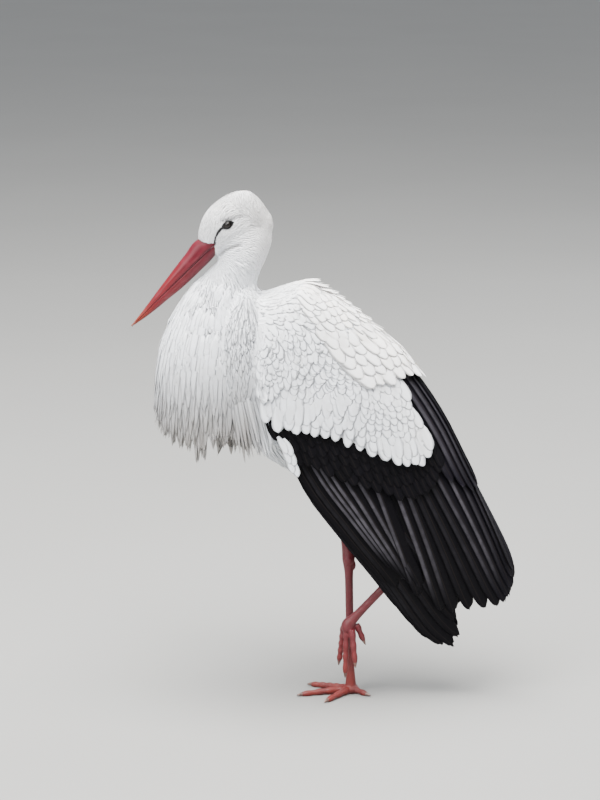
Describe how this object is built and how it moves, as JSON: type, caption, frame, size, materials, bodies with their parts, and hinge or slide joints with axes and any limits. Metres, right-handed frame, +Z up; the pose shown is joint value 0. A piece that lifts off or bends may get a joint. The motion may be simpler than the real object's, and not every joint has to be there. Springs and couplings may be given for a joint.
{
  "type": "white stork museum model",
  "caption": "Life-size white stork standing at rest on one leg, neck drawn in and bill pointing down, with the other leg drawn up and its foot hanging.",
  "frame": {"origin": "on the floor, at the middle of the pad of the standing (right) foot", "axes": "+Z up, the bird faces -X, its left side (the side of the raised leg) is towards -Y"},
  "size_m": [0.6198, 0.224, 0.8411],
  "materials": {
    "plumage_white": "matt white feathers, warmer on the back, greyer in the folds",
    "plumage_black": "black flight feathers with a faint purple-grey sheen",
    "bill_red": "horny, deep red, paler at the tip",
    "leg_red": "scaled pink-red skin",
    "claw_horn": "brown horn",
    "eye_dark": "wet, nearly black"
  },
  "bodies": {
    "root": {"bill_lower": "bill_red", "bill_upper": "bill_red", "breast_plumes": "plumage_white", "claw_hind_left": "claw_horn", "claw_hind_right": "claw_horn", "claw_inner_left": "claw_horn", "claw_inner_right": "claw_horn", "claw_middle_left": "claw_horn", "claw_middle_right": "claw_horn", "claw_outer_left": "claw_horn", "claw_outer_right": "claw_horn", "eye_left": "eye_dark", "eye_right": "eye_dark", "head": "plumage_white", "neck": "plumage_white", "palm_left": "leg_red", "palm_right": "leg_red", "shank_left": "leg_red", "shank_right": "leg_red", "tail": "plumage_white", "tarsus_left": "leg_red", "tarsus_right": "leg_red", "thigh_left": "plumage_white", "thigh_right": "plumage_white", "toe_hind_left": "leg_red", "toe_hind_right": "leg_red", "toe_inner_left": "leg_red", "toe_inner_right": "leg_red", "toe_middle_left": "leg_red", "toe_middle_right": "leg_red", "toe_outer_left": "leg_red", "toe_outer_right": "leg_red", "trunk": "plumage_white", "wing_left_coverts": "plumage_white", "wing_left_greater_coverts": "plumage_black", "wing_left_primaries": "plumage_black", "wing_left_scapulars": "plumage_white", "wing_left_secondaries": "plumage_black", "wing_left_tertials": "plumage_black", "wing_right_coverts": "plumage_white", "wing_right_greater_coverts": "plumage_black", "wing_right_primaries": "plumage_black", "wing_right_scapulars": "plumage_white", "wing_right_secondaries": "plumage_black", "wing_right_tertials": "plumage_black"}
  },
  "joints": []
}
